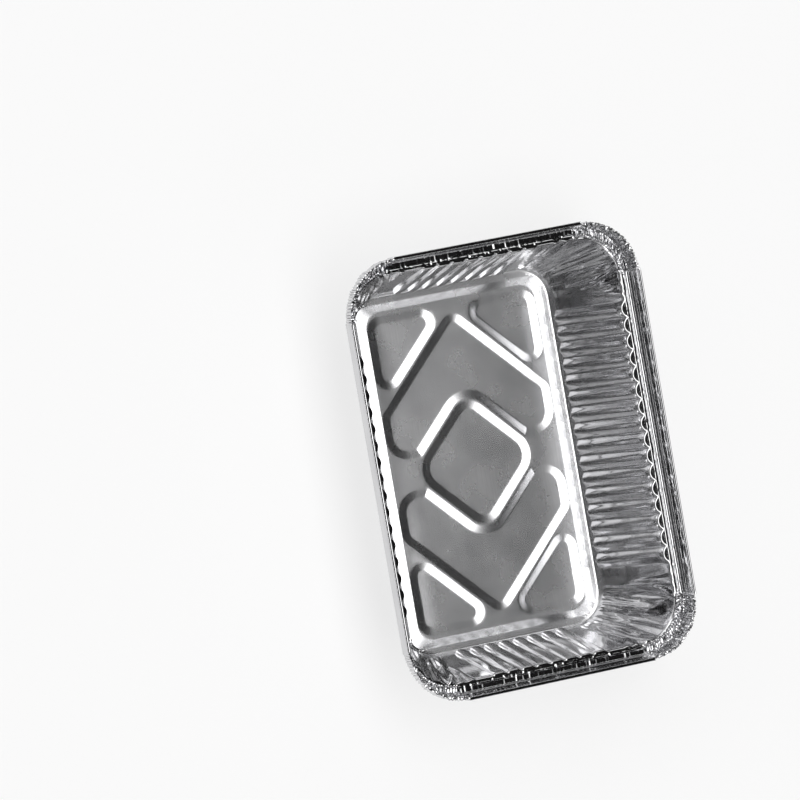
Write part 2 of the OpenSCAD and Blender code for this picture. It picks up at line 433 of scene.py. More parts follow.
# How far each seed moves the place at which the noise is read.
SEED_STEP = (17.3, -9.1, 5.7)


def ramp(t):
    """Smooth step from 0 to 1."""
    t = min(max(t, 0.0), 1.0)
    return t * t * (3 - 2 * t)


def ripple(x, y, z, seed):
    """Smooth noise between about -1 and 1; z and the seed only choose which noise is read."""
    return noise.noise(Vector([at + step * seed for at, step in zip((x, y, z), SEED_STEP)]))


def waves(kind, along, up, z, seed):
    """Smooth waves of one kind: (height, length along, length up)."""
    height, length_along, length_up = kind
    return height * ripple(along / length_along, up / length_up, z, seed)


def between(a, b, t):
    """The point, as a tuple, at share t of the way from a to b."""
    return tuple(p + (q - p) * t for p, q in zip(a, b))


def steps_between(low, high, step):
    """Even steps from low up to, but not including, high."""
    count = max(1, round((high - low) / step))
    return [low + (high - low) * k / count for k in range(count)]


# Outlines of the base

def corner_fillet(before, at, after, radius):
    """Start, centre, end and turning angle of the round that replaces a corner."""
    way_in = (at - before).normalized()
    way_out = (after - at).normalized()
    turn = math.atan2(way_in.cross(way_out), way_in.dot(way_out))
    reach = radius * math.tan(abs(turn) / 2)
    start = at - way_in * reach
    side = Vector((-way_in.y, way_in.x)) * math.copysign(radius, turn)
    return start, start + side, at + way_out * reach, turn


def moved_corners(corners, inwards):
    """The corners of an anticlockwise outline with every side moved inwards."""
    count = len(corners)
    lines = []
    for i in range(count):
        a = Vector(corners[i][:2])
        b = Vector(corners[(i + 1) % count][:2])
        way = (b - a).normalized()
        lines.append((a + Vector((-way.y, way.x)) * inwards, way))
    moved = []
    for i in range(count):
        p, d = lines[i - 1]
        q, e = lines[i]
        t = (q - p).cross(e) / d.cross(e)
        radius = corners[i][2] - math.copysign(inwards, d.cross(e))
        moved.append((p + d * t, max(radius, LEAST_RADIUS)))
    return moved


def outline(corners, inwards, step):
    """Evenly spaced points round an outline with rounded corners."""
    moved = moved_corners(corners, inwards)
    count = len(moved)
    fillets = [
        corner_fillet(moved[i - 1][0], moved[i][0], moved[(i + 1) % count][0], moved[i][1])
        for i in range(count)
    ]
    points = []
    for i, (start, centre, end, turn) in enumerate(fillets):
        arc_steps = max(LEAST_ARC_STEPS, round(abs(turn) * moved[i][1] / (CORNER_FINER * step)))
        for k in range(arc_steps + 1):
            arm = start - centre
            arm.rotate(Matrix.Rotation(turn * k / arc_steps, 2))
            points.append(centre + arm)
        after = fillets[(i + 1) % count][0]
        steps = max(1, round((after - end).length / step))
        for k in range(1, steps):
            points.append(end.lerp(after, k / steps))
    return points


def field_corners():
    """The raised field that holds all the panels."""
    return [(TOP_X, -TOP_Y, TOP_R), (TOP_X, TOP_Y, TOP_R), (-TOP_X, TOP_Y, TOP_R), (-TOP_X, -TOP_Y, TOP_R)]


def diamond_corners():
    """Panel in the middle of the base."""
    return [(DIAMOND_D, 0, DIAMOND_SIDE_R), (0, DIAMOND_D, DIAMOND_R),
            (-DIAMOND_D, 0, DIAMOND_SIDE_R), (0, -DIAMOND_D, DIAMOND_R)]


def arrow_corners():
    """Panel that points at the far short wall, notched round the diamond."""
    shoulder = ARROW_Y - PANEL_X
    return [
        (NOTCH_X, ARROW_LOW, NOTCH_END_R), (PANEL_X, ARROW_LOW, ARROW_LOW_R), (PANEL_X, shoulder, PANEL_R),
        (0, ARROW_Y, PANEL_R),
        (-PANEL_X, shoulder, PANEL_R), (-PANEL_X, ARROW_LOW, ARROW_LOW_R), (-NOTCH_X, ARROW_LOW, NOTCH_END_R),
        (0, NOTCH_Y, DIAMOND_R + RIB_W),
    ]


def wedge_corners():
    """Three-cornered panel beside the point of an arrow."""
    return [(PANEL_X, WEDGE_SUM - PANEL_X, PANEL_R), (PANEL_X, PANEL_Y, PANEL_R),
            (WEDGE_SUM - PANEL_Y, PANEL_Y, PANEL_R)]


def mirrored(corners, sx, sy):
    """A panel mirrored into another quarter, still anticlockwise."""
    turned = [(x * sx, y * sy, r) for x, y, r in corners]
    return turned if sx * sy > 0 else turned[::-1]


def base_panels():
    """The seven sunk panels: two arrows, four wedges and the diamond."""
    arrows = [mirrored(arrow_corners(), 1, sy) for sy in (1, -1)]
    wedges = [mirrored(wedge_corners(), sx, sy) for sx in (1, -1) for sy in (1, -1)]
    return arrows + wedges + [diamond_corners()]


# Mesh of the base

def slope_share(d):
    """How far down a slope the sheet is at distance d from its upper edge."""
    if d <= -BEND_HIGH:
        return 0.0
    if d < BEND_HIGH:
        return (d + BEND_HIGH) ** 2 / (4 * BEND_HIGH * SLOPE_RUN)
    if d <= SLOPE_RUN - BEND_LOW:
        return d / SLOPE_RUN
    if d < SLOPE_RUN + BEND_LOW:
        rest = SLOPE_RUN + BEND_LOW - d
        return 1 - rest ** 2 / (4 * BEND_LOW * SLOPE_RUN)
    return 1.0


def inside(x, y, loop):
    """Whether a point lies within a closed loop of points."""
    hit = False
    for a, b in zip(loop, loop[1:] + loop[:1]):
        if (a.y > y) != (b.y > y) and x < (b.x - a.x) * (y - a.y) / (b.y - a.y) + a.x:
            hit = not hit
    return hit


def base_swell(x, y):
    """Slow unevenness of the thin base between its ribs, in millimetres."""
    dome = DOME_H * (1 - (x / TOP_X) ** 2) + TWIST * x * y
    slow = waves(WIDE_WAVES, x, y, 0.3, seed=1) + waves(NARROW_WAVES, x, y, 0.7, seed=2)
    return (dome + slow) * ramp((TOP_X - abs(x)) / SWELL_FADE) * ramp((TOP_Y - abs(y)) / SWELL_FADE)


def base_lines(edge_loop):
    """Points, heights and edges along every bend of the base and round its edge."""
    loops = [([Vector(place[:2]) for place in edge_loop], 0.0)]
    for corners in base_panels():
        for d in SLOPE_LINES:
            loops.append((outline(corners, d, LINE_STEP), EMBOSS_H * (1 - slope_share(d))))
    for d in SLOPE_LINES:
        loops.append((outline(field_corners(), -d, LINE_STEP), EMBOSS_H * (1 - slope_share(d))))
    points = []
    heights = []
    edges = []
    for loop, height in loops:
        first = len(points)
        count = len(loop)
        points += loop
        heights += [height] * count
        edges += [(first + k, first + (k + 1) % count) for k in range(count)]
    return points, heights, edges


def base_fill(lines):
    """Loose points between the lines of the base, as (point, height)."""
    panels = base_panels()
    floors = [outline(corners, SLOPE_RUN + BEND_LOW, COARSE_STEP) for corners in panels]
    uppers = [outline(corners, -BEND_HIGH, COARSE_STEP) for corners in panels]
    field_top = outline(field_corners(), BEND_HIGH, COARSE_STEP)
    taken = np.array([[p.x, p.y] for p in lines])
    columns = math.ceil(TOP_X / GRID)
    rows = math.ceil(TOP_Y / GRID)
    fill = []
    for i in range(-columns, columns + 1):
        for j in range(-rows, rows + 1):
            shake_x = GRID_SHAKE * ripple(i * GRID_WAVE, j * GRID_WAVE, 0, seed=3)
            shake_y = GRID_SHAKE * ripple(i * GRID_WAVE, j * GRID_WAVE, 0, seed=4)
            x = i * GRID + 0.5 * GRID * (j % 2) + shake_x
            y = j * GRID + shake_y
            if not inside(x, y, field_top) or np.hypot(*(taken - (x, y)).T).min() < GRID_CLEAR:
                continue
            low = any(inside(x, y, loop) for loop in floors)
            if low or not any(inside(x, y, loop) for loop in uppers):
                fill.append((Vector((x, y)), 0.0 if low else EMBOSS_H))
    return fill


def base_mesh(edge_loop):
    """Vertices and triangles of the embossed base inside the wall's first ring."""
    points, heights, edges = base_lines(edge_loop)
    for point, height in base_fill(points):
        points.append(point)
        heights.append(height)
    flat, _, faces, sources, _, _ = geometry.delaunay_2d_cdt(points, edges, [], 0, SAME_PLACE)
    verts = []
    for p, source in zip(flat, sources):
        height = heights[source[0]] if source else EMBOSS_H
        verts.append((p.x, p.y, height + base_swell(p.x, p.y)))
    return verts, faces, [source[0] if source else -1 for source in sources]


# Places round the walls and the rim

def is_short(quarter):
    """Whether a side is a short one: 0 faces +X, 1 faces +Y, and so on."""
    return quarter % 2 == 1


def by_side(quarter, long_side, short_side):
    """The value for a long side or a short one."""
    return short_side if is_short(quarter) else long_side


def quarter_turn(quarter, out, along):
    """A point on a straight side."""
    return [(out, along), (-along, out), (-out, -along), (along, -out)][quarter]


def corner_point(quarter, degrees, x, y, radius):
    """A point in the round corner that follows a straight side."""
    sx = 1 if quarter in (0, 3) else -1
    sy = 1 if quarter in (0, 1) else -1
    angle = math.radians(90 * quarter + degrees)
    return sx * (x - radius) + radius * math.cos(angle), sy * (y - radius) + radius * math.sin(angle)


def moved_in(quarter, degrees, place, inwards):
    """A point of a round corner moved straight towards the corner's centre."""
    angle = math.radians(90 * quarter + degrees)
    return place[0] - inwards * math.cos(angle), place[1] - inwards * math.sin(angle)


# The walls

def side_marks(quarter):
    """Places along one straight wall: plain, over its flutes, and plain again."""
    pitch = by_side(quarter, LONG_PITCH, SHORT_PITCH)
    count = by_side(quarter, LONG_FLUTES, SHORT_FLUTES)
    shift = FLUTE_SHIFT if quarter == 0 else 0.0
    reach = by_side(quarter, SEAT_Y, SEAT_X) - SEAT_R
    first = shift - count * pitch / 2
    last = shift + count * pitch / 2
    before = (quarter - 1) % 4
    marks = []
    for share in steps_between(0, 1, PLAIN_STEP / (first + reach)):
        fan = 1 + share * (first + reach) / ARC
        marks.append(WallMark("side", quarter, first, 1.0, before, fan, share - 1))
    half = by_side(quarter, LONG_ACROSS, SHORT_ACROSS)
    over = [0.5 - a / 2 for a in reversed(half)] + [0.5 + a / 2 for a in half[1:-1]]
    for phase in (k + part for k in range(count) for part in over):
        place = first + phase * pitch
        across = abs(2 * (phase % 1) - 1)
        fan = (place - reach) / ARC if place > 0 else 1 + (place + reach) / ARC
        corner = quarter if place > 0 else before
        marks.append(WallMark("side", quarter, place, across, corner, fan, 0.0))
    for share in steps_between(0, 1, PLAIN_STEP / (reach - last)):
        fan = (share - 1) * (reach - last) / ARC
        marks.append(WallMark("side", quarter, last, 1.0, quarter, fan, share))
    return marks


def wall_marks():
    """Places round the wall: the straight walls and the round corners after them."""
    marks = []
    for quarter in range(4):
        marks += side_marks(quarter)
        for k in range(CORNER_STEPS):
            fan = k / CORNER_STEPS
            marks.append(WallMark("corner", quarter, 90 * fan, 1.0, quarter, fan, 0.0))
    return marks


def wall_rings():
    """Rings from the flat ring of the base, round its edge and up to the ledge."""
    rings = []
    for k in range(FOOT_STEPS + 1):
        angle = FOOT_TURN * k / FOOT_STEPS
        out = FOOT_BULGE * FOOT_ROUND * math.sin(angle) / math.sin(FOOT_TURN)
        rise = FOOT_RISE * (1 - math.cos(angle)) / (1 - math.cos(FOOT_TURN))
        rings.append(WallRing(RING_X + out, RING_Y + out, RING_R + out, rise, 0.0))
    foot = (FOOT_X + WALL_OUT, FOOT_Y + WALL_OUT, FOOT_R + WALL_OUT, FOOT_RISE)
    seat = (SEAT_X, SEAT_Y, SEAT_R, LEDGE_Z)
    for up in WALL_HEIGHTS:
        rings.append(WallRing(*between(foot, seat, up / WALL_LENGTH), up))
    for out, down, up in SEAT_BEND:
        rings.append(WallRing(SEAT_X + out, SEAT_Y + out, SEAT_R + out, LEDGE_Z - down, up))
    return rings


def flute_wave(quarter, across, up):
    """Section of a flute: 1 on the crest, 0 in the valley where across is 1.

    The short walls have flat fingers, the long ones a soft wave that turns
    into scallops at the ledge.
    """
    if is_short(quarter):
        finger = ramp((FINGER_EDGE - across) / FINGER_SIDE)
        return FINGER_SHARE * finger + (1 - FINGER_SHARE) * (0.5 + 0.5 * math.cos(math.pi * across))
    wave = 0.5 + 0.5 * math.cos(math.pi * across ** LONG_WAVE_POWER)
    scallop = 1 - across ** SCALLOP_POWER
    return wave + (scallop - wave) * ramp((up - SCALLOP_FROM) / SCALLOP_RUN)


def flute_depth(quarter, up):
    """Depth of the flutes at a height up the wall."""
    share = min(up / WALL_LENGTH, 1)
    if is_short(quarter):
        return SHORT_FLUTE_D - SHORT_FLUTE_LOSS * share
    return LONG_FLUTE_D - LONG_FLUTE_LOSS * share + SCALLOP_GAIN * ramp((share - GAIN_FROM) / GAIN_RUN)


def flute_swing(quarter, place, across, up):
    """How far a flute stands in from the wall at a height up the wall."""
    if across >= 1 or up > WALL_LENGTH + 1:
        return 0.0
    bend = 1 - math.sqrt(max(0.0, 1 - min(across / TIP_ROUND, 1) ** 2))
    low, rise = by_side(quarter, LONG_TIP, SHORT_TIP)
    from_tip = ramp((up - (low + rise * bend)) / TIP_RUN)
    uneven = 1 + waves(FLUTE_UNEVEN, place, up, quarter * 4.3, seed=8)
    return flute_depth(quarter, up) * from_tip * flute_wave(quarter, across, up) * uneven


def corner_folds(corner):
    """Folds of the gathered sheet in one wall corner."""
    chance = random.Random(60 + corner)
    folds = []
    for count, half_width, height in FOLD_ROWS:
        for k in range(count):
            place = -FOLD_PAST + (1 + 2 * FOLD_PAST) * (k + chance.uniform(*FOLD_PLACE)) / count
            slant = chance.gauss(0, FOLD_TURN) + FOLD_LEAN * (place - 0.5)
            tall = chance.choice((-1, 1)) * height * chance.uniform(*FOLD_TALL)
            start = chance.uniform(*FOLD_START)
            end = start + chance.uniform(*FOLD_LENGTH)
            width = half_width * chance.uniform(*FOLD_WIDE)
            folds.append(Fold(place, slant, FOLD_PIVOT, width, tall, start, end))
    return folds + star_folds(chance, 0, -1) + star_folds(chance, 1, 1)


def star_folds(chance, side, out):
    """Folds that spread up from a point just beyond one side of a corner."""
    place = side + out * chance.uniform(*STAR_AWAY)
    pivot = chance.uniform(*STAR_PIVOT)
    folds = []
    for k in range(STAR_FOLDS):
        spread = out * (STAR_FIRST - STAR_STEP * k) + chance.uniform(*STAR_SHAKE)
        tall = (-1) ** k * chance.uniform(*STAR_TALL)
        folds.append(Fold(place, spread / (1 - pivot), pivot, STAR_WIDTH, tall, pivot, STAR_END))
    return folds


def gathered(folds, corner, fan, share):
    """How far the sheet of a wall corner stands in from its smooth round, in millimetres."""
    if fan < -FOLD_REACH or fan > 1 + FOLD_REACH:
        return 0.0
    swing = 0.0
    for fold in folds:
        beside = abs(fan - fold.place - fold.slant * (share - fold.pivot))
        if beside < fold.width:
            along = ramp((share - fold.start) / FOLD_END) * ramp((fold.end - share) / FOLD_END)
            swing += fold.height * (1 - beside / fold.width) * along
    in_arc = ramp((fan + CRUMPLE_PAST) / CRUMPLE_FADE) * ramp((1 + CRUMPLE_PAST - fan) / CRUMPLE_FADE)
    for height, round_fan, up_wall, seed in CRUMPLES:
        swing += height * ripple(fan * round_fan, share * up_wall, corner * 3.1, seed) * in_arc
    if share > NEAR_LEDGE:
        swing = max(swing, -MOST_OUT)
    return swing * ramp(share / FOLD_FOOT) * ramp((FOLD_TOP - share) / FOLD_TOP_RUN)


def wall_place(mark, ring, folds):
    """Point of a mark on a wall ring; folds holds those of all four corners."""
    quarter = mark.quarter
    swing = 0.0
    if ring.up > 0:
        swing = gathered(folds[mark.corner], mark.corner, mark.fan, ring.up / WALL_LENGTH)
    if mark.kind == "corner":
        round_place = corner_point(quarter, mark.place, ring.x, ring.y, ring.radius)
        return (*moved_in(quarter, mark.place, round_place, swing), ring.z)
    reach = math.copysign(by_side(quarter, ring.y, ring.x) - ring.radius, mark.stretch)
    place = mark.place + abs(mark.stretch) * (reach - mark.place)
    swing += flute_swing(quarter, place, mark.across, ring.up)
    dents = waves(DENTS, place, ring.up, quarter * 7.7, seed=9)
    swing += dents * ramp(ring.up / DENTS_FROM) * ramp((DENTS_TO - ring.up) / DENTS_FADE)
    return (*quarter_turn(quarter, by_side(quarter, ring.x, ring.y) - swing, place), ring.z)


# The rim

def pleat_edges(corner):
    """Where the pleats of a crimped rim corner begin, as shares of the corner."""
    chance = random.Random(90 + corner)
    widths = [chance.uniform(*PLEAT_WIDTHS) for _ in range(PLEATS)]
    total = sum(widths)
    edges = [0.0]
    for width in widths:
        edges.append(edges[-1] + width / total)
    return edges


def rim_marks():
    """Places round the rim: straight hems and crimped corners."""
    marks = []
    for quarter in range(4):
        reach = by_side(quarter, LINE_Y, SEAT_X) - SEAT_R
        step = by_side(quarter, LONG_RIM_STEP, SHORT_RIM_STEP)
        places = steps_between(-reach, reach, step) + [reach]
        marks += [RimMark("side", quarter, place, 0, 0.0) for place in places]
        edges = pleat_edges(quarter)
        for k in range(PLEATS):
            for share, fold in PLEAT_SECTION:
                place = edges[k] + (edges[k + 1] - edges[k]) * share
                degrees = PLEAT_START + (90 - 2 * PLEAT_START) * place
                marks.append(RimMark("corner", quarter, degrees, k, fold))
        marks.append(RimMark("corner", quarter, 90 - PLEAT_START, PLEATS, 0.0))
    return marks


def grown(base, out, z, share, lift):
    """A rim ring a little outside or inside a named one."""
    return RimRing(base[0] + out, base[1] + out, base[2] + out, z, share, lift)


def rim_rings():
    """Rings over the beaded ledge, up the flange, over the hem and into its curled edge."""
    rings = []
    for out_x, out_y, rise, share, lift in LEDGE_SECTION:
        rings.append(RimRing(FLANGE_X + out_x, ROOT_Y + out_y, FLANGE_R + out_x, LEDGE_Z + rise, share, lift))
    for share, groove in FLANGE_SECTION:
        flange = between(STEP_TOP, HEM_INNER, share)
        rings.append(grown(flange, groove, LEDGE_Z + share * FLANGE_H, 1.0, FLANGE_LIFT))
    rings += [grown(HEM_INNER, out, RIM_Z - down, share, lift) for out, down, share, lift in INNER_CROWN]
    rings += [grown(HEM_OUTER, out, RIM_Z - down, share, lift) for out, down, share, lift in OUTER_CROWN]
    rings += [grown(HEM_OUTER, out, HEM_LOW + up, share, lift) for out, up, share, lift in HEM_CURL]
    return rings


def ledge_nicks(quarter, place, out, z):
    """Height of the small nicks pressed along the ledge."""
    start = by_side(quarter, FLANGE_X - LONG_NICK_IN, ROOT_Y - SHORT_NICK_IN)
    across_ledge = ramp((out - start) / NICK_EDGE) * ramp((LEDGE_Z + NICK_TOP - z) / NICK_FADE)
    nick = waves(NICK_WAVES, place, out, quarter * 5.0, seed=11)
    sharp = max(0.0, abs(nick) - NICK_FROM) * math.copysign(1, nick)
    return by_side(quarter, LONG_NICK_H, SHORT_NICK_H) * sharp * across_ledge


def flange_crinkles(quarter, place, z):
    """How far the crinkled flange stands out from its straight line."""
    above_ledge = ramp((z - LEDGE_Z - CRINKLE_FROM) / CRINKLE_GROWS)
    below_top = ramp((RIM_Z - CRINKLE_TO - z) / CRINKLE_FADE)
    crinkle = waves(CRINKLES, place, z, quarter * 2.9, seed=10)
    slow = waves(FLANGE_WAVES, place, z, quarter * 2.9, seed=14)
    return (crinkle + slow) * (above_ledge * below_top)


def side_rim_place(mark, ring):
    """Point of a straight stretch of the rim, with its fine wrinkles."""
    quarter = mark.quarter
    out = by_side(quarter, ring.x, ring.y)
    up = ledge_nicks(quarter, mark.place, out, ring.z)
    if ring.z > LEDGE_Z + ABOVE_LEDGE and ring.share == 1.0:
        out += flange_crinkles(quarter, mark.place, ring.z)
    return (*quarter_turn(quarter, out, mark.place), ring.z + up)


def crimped_place(mark, ring):
    """Point of a crimped rim corner, folded and crumpled."""
    quarter = mark.quarter
    around = math.radians(mark.place) * RIM_R
    rank = ring.radius + ring.z
    depth = PLEAT_D + waves(PLEAT_VARIES, mark.pleat * PLEAT_CHANGE, rank, quarter * 3.3, seed=7)
    crumple_in = waves(CRUMPLE_IN, around, rank, quarter * 8.1, seed=12)
    crumple_up = waves(CRUMPLE_UP, around, rank, quarter * 8.1, seed=13)
    back = ring.share * (CORNER_INSET + PLEAT_IN * depth * mark.fold + crumple_in)
    sink = ring.lift * (crumple_up - PLEAT_SINK * abs(depth) * mark.fold)
    if ring.z > RIM_Z - CROWN_H:
        sink = abs(sink) + LEAST_SINK
    if ring.z > LEDGE_Z + ABOVE_LEDGE:
        back = max(back, LEAST_BACK)
    else:
        sink = max(sink, -MOST_RISE)
    round_place = corner_point(quarter, mark.place, ring.x, ring.y, ring.radius)
    return (*moved_in(quarter, mark.place, round_place, back), ring.z - sink)


def rim_place(mark, ring):
    """Point of a rim mark on a ring."""
    return side_rim_place(mark, ring) if mark.kind == "side" else crimped_place(mark, ring)


# The whole sheet

def band(marks, rings, place):
    """A closed band of quads: its vertices and faces, mark after mark."""
    verts = [place(mark, ring) for mark in marks for ring in rings]
    count = len(rings)
    total = len(marks)
    faces = []
    for i in range(total):
        for j in range(count - 1):
            a = i * count + j
            d = (i + 1) % total * count + j
            faces.append((a, a + 1, d + 1, d))
    return verts, faces


def band_sheet(marks, rings, verts):
    """Places on the unrolled sheet: along the band and up its section."""
    count = len(rings)
    middle = count // 2
    sheet = []
    along = 0.0
    for i in range(len(marks)):
        row = verts[i * count:(i + 1) * count]
        if i:
            along += math.dist(row[middle], verts[(i - 1) * count + middle])
        up = 0.0
        for k, point in enumerate(row):
            if k:
                up += math.dist(point, row[k - 1])
            sheet.append((along, up))
    return sheet


def turned_sides(marks, rings, sheet):
    """The sheet of the rim, turned on its straight sides so that its grain runs along them."""
    count = len(rings)
    return [(v, u) if marks[k // count].kind == "side" else (u, v) for k, (u, v) in enumerate(sheet)]


def share_round(loop):
    """How far round its loop each point lies, from 0 to 1."""
    lengths = [math.dist(a, b) for a, b in zip(loop, loop[1:] + loop[:1])]
    total = sum(lengths)
    shares = [0.0]
    for piece in lengths[:-1]:
        shares.append(shares[-1] + piece / total)
    return shares + [1.0]


def zipped(inner, outer, verts):
    """Triangles between two loops of vertex numbers with unlike counts."""
    near = share_round([verts[i] for i in inner])
    far = share_round([verts[i] for i in outer])
    i = 0
    j = 0
    faces = []
    while i < len(inner) or j < len(outer):
        a = inner[i % len(inner)]
        b = outer[j % len(outer)]
        step_inner = j == len(outer) or (i < len(inner) and near[i + 1] <= far[j + 1])
        if step_inner:
            faces.append((a, b, inner[(i + 1) % len(inner)]))
            i += 1
        else:
            faces.append((a, b, outer[(j + 1) % len(outer)]))
            j += 1
    return faces


def tray_mesh():
    """The whole inner surface of the sheet, from the base to the curled hem.

    Returns its vertices, its faces and each vertex's place on the sheet.
    """
    marks = wall_marks()
    rings = wall_rings()
    folds = [corner_folds(corner) for corner in range(4)]
    wall_verts, wall_faces = band(marks, rings, lambda mark, ring: wall_place(mark, ring, folds))
    base_verts, base_faces, sources = base_mesh(wall_verts[::len(rings)])
    verts = base_verts + wall_verts
    faces = [tuple(face) for face in base_faces]
    sheet = [(x, y) for x, y, _ in base_verts] + band_sheet(marks, rings, wall_verts)

    # The wall's first ring is the edge of the base, so both use its vertices.
    number = [len(base_verts) + k for k in range(len(wall_verts))]
    for vertex, source in enumerate(sources):
        if 0 <= source < len(marks):
            number[source * len(rings)] = vertex
    faces += [tuple(number[k] for k in face) for face in wall_faces]
    wall_top = number[len(rings) - 1::len(rings)]

    places = rim_marks()
    hoops = rim_rings()
    start = len(verts)
    rim_verts, rim_faces = band(places, hoops, rim_place)
    verts += rim_verts
    sheet += turned_sides(places, hoops, band_sheet(places, hoops, rim_verts))
    faces += [tuple(start + k for k in face) for face in rim_faces]
    rim_root = [start + i * len(hoops) for i in range(len(places))]
    faces += zipped(wall_top, rim_root, verts)
    return verts, faces, sheet


def clean_up(mesh):
    """Drops loose points and turns every face towards the inside of the tray."""
    work = bmesh.new()
    work.from_mesh(mesh)
    bmesh.ops.delete(work, geom=[v for v in work.verts if not v.link_faces], context="VERTS")
    bmesh.ops.recalc_face_normals(work, faces=work.faces[:])
    low = min(work.faces, key=lambda f: f.calc_center_median().length)
    if low.normal.z < 0:
        bmesh.ops.reverse_faces(work, faces=work.faces[:])
    work.to_mesh(mesh)
    work.free()


def in_corner(x, y, margin):
    """Whether a place in millimetres lies beyond the straight sides."""
    return abs(x) > SEAT_X - SEAT_R + margin and abs(y) > LINE_Y - SEAT_R + margin


def crisp_crimps(mesh):
    """Gives every facet of the crimped rim corners its own flat face."""
    for face in mesh.polygons:
        x, y, z = face.center / MM
        if z > CRISP_FROM and in_corner(x, y, CRISP_IN):
            face.use_smooth = False


def even_panels(tray):
    """Keeps the flat panels and ledges flat up to their bends."""
    group = tray.vertex_groups.new(name="panels")
    for vertex in tray.data.vertices:
        x, y, z = vertex.co / MM
        if z < PANEL_TO or (z > LEDGE_FROM and not in_corner(x, y, 0)):
            group.add([vertex.index], 1.0, "REPLACE")
    even = tray.modifiers.new("even panels", "WEIGHTED_NORMAL")
    even.mode = "FACE_AREA"
    even.weight = FLAT_WEIGHT
    even.vertex_group = group.name


def make_tray():
    """The pressed tray as one object, with its sheet as a texture layout."""
    verts, faces, sheet = tray_mesh()
    mesh = bpy.data.meshes.new("foil_tray")
    mesh.from_pydata([Vector(v) * MM for v in verts], [], faces)
    layer = mesh.uv_layers.new(name="sheet")
    places = np.array(sheet)[[loop.vertex_index for loop in mesh.loops]] * MM
    layer.data.foreach_set("uv", places.ravel())
    tray = bpy.data.objects.new("foil_tray", mesh)
    bpy.context.collection.objects.link(tray)
    clean_up(mesh)
    mesh.shade_smooth()
    crisp_crimps(mesh)
    even_panels(tray)
    return tray


# Shader nodes

def node(tree, kind, **values):
    """A shader node with its sockets or settings filled in by name."""
    made = tree.nodes.new("ShaderNode" + kind)
    for name, value in values.items():
        plain = name.replace("_", " ")
        if plain in made.inputs:
            socket = made.inputs[plain]
            if isinstance(value, bpy.types.NodeSocket):
                tree.links.new(value, socket)
            else:
                socket.default_value = value
        else:
            setattr(made, name, value)
    return made


def math_node(tree, operation, first, second):
    """A maths node fed by sockets or plain numbers; returns its output."""
    made = tree.nodes.new("ShaderNodeMath")
    made.operation = operation
    for socket, value in zip(made.inputs, (first, second)):
        if isinstance(value, bpy.types.NodeSocket):
            tree.links.new(value, socket)
        else:
            socket.default_value = value
    return made.outputs[0]


def tinted(tree, colour, level):
    """A colour multiplied by a level."""
    made = node(tree, "Mix", data_type="RGBA", blend_type="MULTIPLY", Factor=1.0, A=colour, B=level)
    return made.outputs["Result"]


def by_satin(tree, satin, drawn_value, satin_value):
    """A value that goes from the drawn foil's to the satin foil's."""
    return node(tree, "MapRange", Value=satin, To_Min=drawn_value, To_Max=satin_value).outputs[0]


def level_ramp(tree, value, stops):
    """A grey level read from (value, level) stops."""
    low = stops[0][0]
    high = stops[-1][0]
    spread = node(tree, "MapRange", Value=value, From_Min=low, From_Max=high)
    fall = node(tree, "ValToRGB", Fac=spread.outputs[0])
    ramp_stops(fall.color_ramp, [((at - low) / (high - low), level) for at, level in stops])
    return fall.outputs["Color"]


def ramp_stops(colour_ramp, stops):
    """Fills a colour ramp with grey stops."""
    while len(colour_ramp.elements) > 1:
        colour_ramp.elements.remove(colour_ramp.elements[-1])
    colour_ramp.elements[0].position = stops[0][0]
    colour_ramp.elements[0].color = (*[stops[0][1]] * 3, 1)
    for place, level in stops[1:]:
        colour_ramp.elements.new(place).color = (*[level] * 3, 1)


# Materials

def foil_sockets(tree):
    """Makes the sockets of the foil group, and returns its inputs and its results."""
    face = tree.interface
    face.new_socket("Place", in_out="INPUT", socket_type="NodeSocketVector")
    face.new_socket("Sheet", in_out="INPUT", socket_type="NodeSocketVector")
    face.new_socket("Satin", in_out="INPUT", socket_type="NodeSocketFloat")
    face.new_socket("Tone", in_out="OUTPUT", socket_type="NodeSocketColor")
    face.new_socket("Roughness", in_out="OUTPUT", socket_type="NodeSocketFloat")
    face.new_socket("Relief", in_out="OUTPUT", socket_type="NodeSocketFloat")
    return tree.nodes.new("NodeGroupInput").outputs, tree.nodes.new("NodeGroupOutput").inputs


